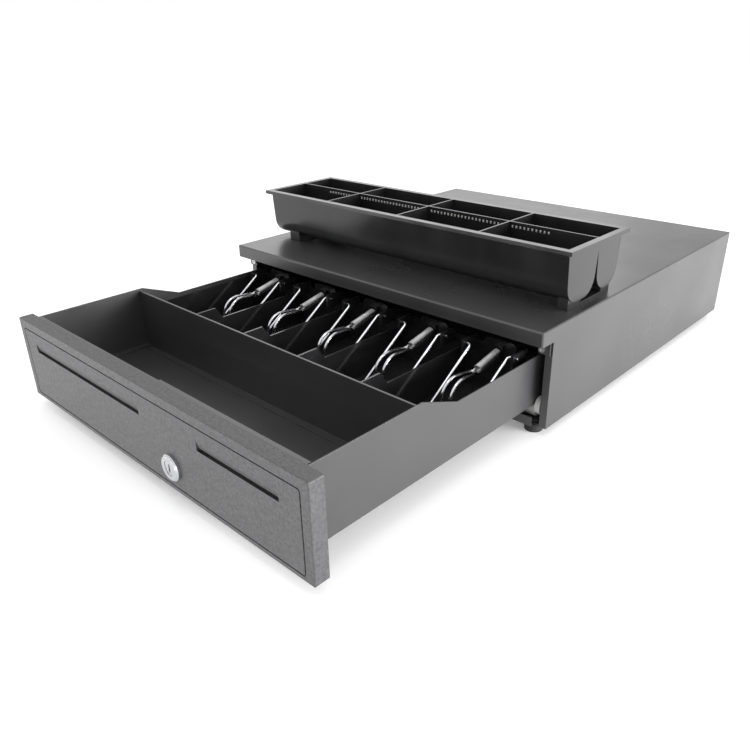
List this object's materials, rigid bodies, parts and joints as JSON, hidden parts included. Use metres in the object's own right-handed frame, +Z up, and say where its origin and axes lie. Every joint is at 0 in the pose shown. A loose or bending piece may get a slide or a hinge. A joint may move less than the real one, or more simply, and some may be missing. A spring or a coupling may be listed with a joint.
{
  "type": "cash drawer",
  "caption": "Steel cash drawer, open, with sprung wire bill clips, a key lock, a rear latch and a lift-out coin tray standing on the housing.",
  "frame": {"origin": "on the table under the middle of the whole open drawer's footprint", "axes": "+X to the right seen from the front, +Y towards the back, +Z up"},
  "size_m": [0.41, 0.677, 0.163],
  "materials": {
    "housing_paint": "fine textured black powder coat",
    "drawer_paint": "smooth semi-matt black paint",
    "panel_texture": "leather-grain moulded charcoal",
    "insert_plastic": "glossy black moulded plastic",
    "tray_plastic": "satin black moulded plastic",
    "clip_chrome": "bright plated wire",
    "lock_chrome": "bright plated zinc",
    "spring_steel": "close-wound zinc-plated wire",
    "bright_steel": "bright zinc plate",
    "zinc_steel": "dull zinc plate",
    "rubber": "moulded rubber",
    "nylon": "natural nylon",
    "coil_wrap": "wrapped coil",
    "switch_plastic": "moulded black plastic",
    "circuit_board": "green lacquered laminate"
  },
  "bodies": {
    "housing": {"housing_cover": "housing_paint", "base_pan": "housing_paint", "lock_catch": "zinc_steel", "back_panel": "housing_paint", "rear_screws": "bright_steel", "frame_screws": "bright_steel", "top_stiffener": "housing_paint", "rubber_feet": "rubber", "side_channel_left": "zinc_steel", "side_channel_right": "zinc_steel", "side_guides": "nylon", "roller_brackets": "zinc_steel", "front_axles": "bright_steel", "ejector_guide": "bright_steel", "ejector_spring": "spring_steel", "latch_bracket": "zinc_steel", "latch_pin": "bright_steel", "solenoid_frame": "zinc_steel", "solenoid_coil": "coil_wrap", "latch_spring": "spring_steel", "switch_bracket": "zinc_steel", "switch_body": "switch_plastic", "cable_socket": "switch_plastic", "circuit_board": "circuit_board"},
    "drawer": {"drawer_body": "drawer_paint", "front_panel": "panel_texture", "panel_screws": "bright_steel", "divider_plate": "drawer_paint", "lock_body": "lock_chrome", "lock_nut": "lock_chrome", "lock_cover": "drawer_paint", "rear_axles": "bright_steel", "striker_bracket": "zinc_steel", "striker_pin": "bright_steel", "bill_insert": "insert_plastic", "spring_anchors": "insert_plastic", "clip_spring_1": "spring_steel", "clip_spring_2": "spring_steel", "clip_spring_3": "spring_steel", "clip_spring_4": "spring_steel", "clip_spring_5": "spring_steel"},
    "lock": {"lock_plug": "lock_chrome", "lock_cam": "lock_chrome"},
    "latch": {"latch_lever": "bright_steel"},
    "plunger": {"solenoid_plunger": "bright_steel"},
    "switch_arm": {"switch_lever": "bright_steel"},
    "coin_tray": {"coin_tray": "tray_plastic"},
    "clip_1": {"bill_clip_1": "clip_chrome"},
    "clip_2": {"bill_clip_2": "clip_chrome"},
    "clip_3": {"bill_clip_3": "clip_chrome"},
    "clip_4": {"bill_clip_4": "clip_chrome"},
    "clip_5": {"bill_clip_5": "clip_chrome"},
    "front_roller_left": {"front_roller_left": "nylon"},
    "rear_roller_left": {"rear_roller_left": "nylon"},
    "front_roller_right": {"front_roller_right": "nylon"},
    "rear_roller_right": {"rear_roller_right": "nylon"}
  },
  "joints": [
    {"name": "drawer_slide", "type": "slide", "parent": "housing", "child": "drawer", "axis": [0, -1, 0], "range_m": [-0.258, 0], "deforming": ["ejector_spring"]},
    {"name": "lock_turn", "type": "hinge", "parent": "drawer", "child": "lock", "pos_m": [0.046, -0.3245, 0.034], "axis": [0, 1, 0], "range_deg": [0, 90]},
    {"name": "latch_swing", "type": "hinge", "parent": "housing", "child": "latch", "pos_m": [0.012, 0.3265, 0.0475], "axis": [0, 0, -1], "range_deg": [0, 20]},
    {"name": "plunger_travel", "type": "slide", "parent": "housing", "child": "plunger", "axis": [-1, 0, 0], "range_m": [0, 0.00419], "deforming": ["latch_spring"]},
    {"name": "switch_press", "type": "hinge", "parent": "housing", "child": "switch_arm", "pos_m": [-0.038, 0.3167, 0.0452], "axis": [0, 0, 1], "range_deg": [0, 2], "stiffness_Nm_per_rad": 0.01},
    {"name": "coin_tray_lift", "type": "slide", "parent": "housing", "child": "coin_tray", "axis": [0, 0, 1], "range_m": [0, 0.12]},
    {"name": "clip_1_lift", "type": "hinge", "parent": "drawer", "child": "clip_1", "pos_m": [-0.1532, -0.0765, 0.076], "axis": [-1, 0, 0], "range_deg": [0, 70], "stiffness_Nm_per_rad": 0.02, "springref_deg": -17.19, "deforming": ["clip_spring_1"]},
    {"name": "clip_2_lift", "type": "hinge", "parent": "drawer", "child": "clip_2", "pos_m": [-0.0766, -0.0765, 0.076], "axis": [-1, 0, 0], "range_deg": [0, 70], "stiffness_Nm_per_rad": 0.02, "springref_deg": -17.19, "deforming": ["clip_spring_2"]},
    {"name": "clip_3_lift", "type": "hinge", "parent": "drawer", "child": "clip_3", "pos_m": [0, -0.0765, 0.076], "axis": [-1, 0, 0], "range_deg": [0, 70], "stiffness_Nm_per_rad": 0.02, "springref_deg": -17.19, "deforming": ["clip_spring_3"]},
    {"name": "clip_4_lift", "type": "hinge", "parent": "drawer", "child": "clip_4", "pos_m": [0.0766, -0.0765, 0.076], "axis": [-1, 0, 0], "range_deg": [0, 70], "stiffness_Nm_per_rad": 0.02, "springref_deg": -17.19, "deforming": ["clip_spring_4"]},
    {"name": "clip_5_lift", "type": "hinge", "parent": "drawer", "child": "clip_5", "pos_m": [0.1532, -0.0765, 0.076], "axis": [-1, 0, 0], "range_deg": [0, 70], "stiffness_Nm_per_rad": 0.02, "springref_deg": -17.19, "deforming": ["clip_spring_5"]},
    {"name": "front_roller_left_spin", "type": "hinge", "parent": "housing", "child": "front_roller_left", "pos_m": [-0.185, -0.0465, 0.0197], "axis": [1, 0, 0], "continuous": true},
    {"name": "rear_roller_left_spin", "type": "hinge", "parent": "drawer", "child": "rear_roller_left", "pos_m": [-0.1965, 0.0275, 0.043], "axis": [1, 0, 0], "continuous": true},
    {"name": "front_roller_right_spin", "type": "hinge", "parent": "housing", "child": "front_roller_right", "pos_m": [0.185, -0.0465, 0.0197], "axis": [1, 0, 0], "continuous": true},
    {"name": "rear_roller_right_spin", "type": "hinge", "parent": "drawer", "child": "rear_roller_right", "pos_m": [0.1965, 0.0275, 0.043], "axis": [1, 0, 0], "continuous": true}
  ],
  "couplings": [
    {"joint": "latch_swing", "follows": "plunger_travel", "rad_per_m": 83.3},
    {"joint": "front_roller_left_spin", "follows": "drawer_slide", "rad_per_m": 125},
    {"joint": "rear_roller_left_spin", "follows": "drawer_slide", "rad_per_m": 125},
    {"joint": "front_roller_right_spin", "follows": "drawer_slide", "rad_per_m": 125},
    {"joint": "rear_roller_right_spin", "follows": "drawer_slide", "rad_per_m": 125}
  ]
}
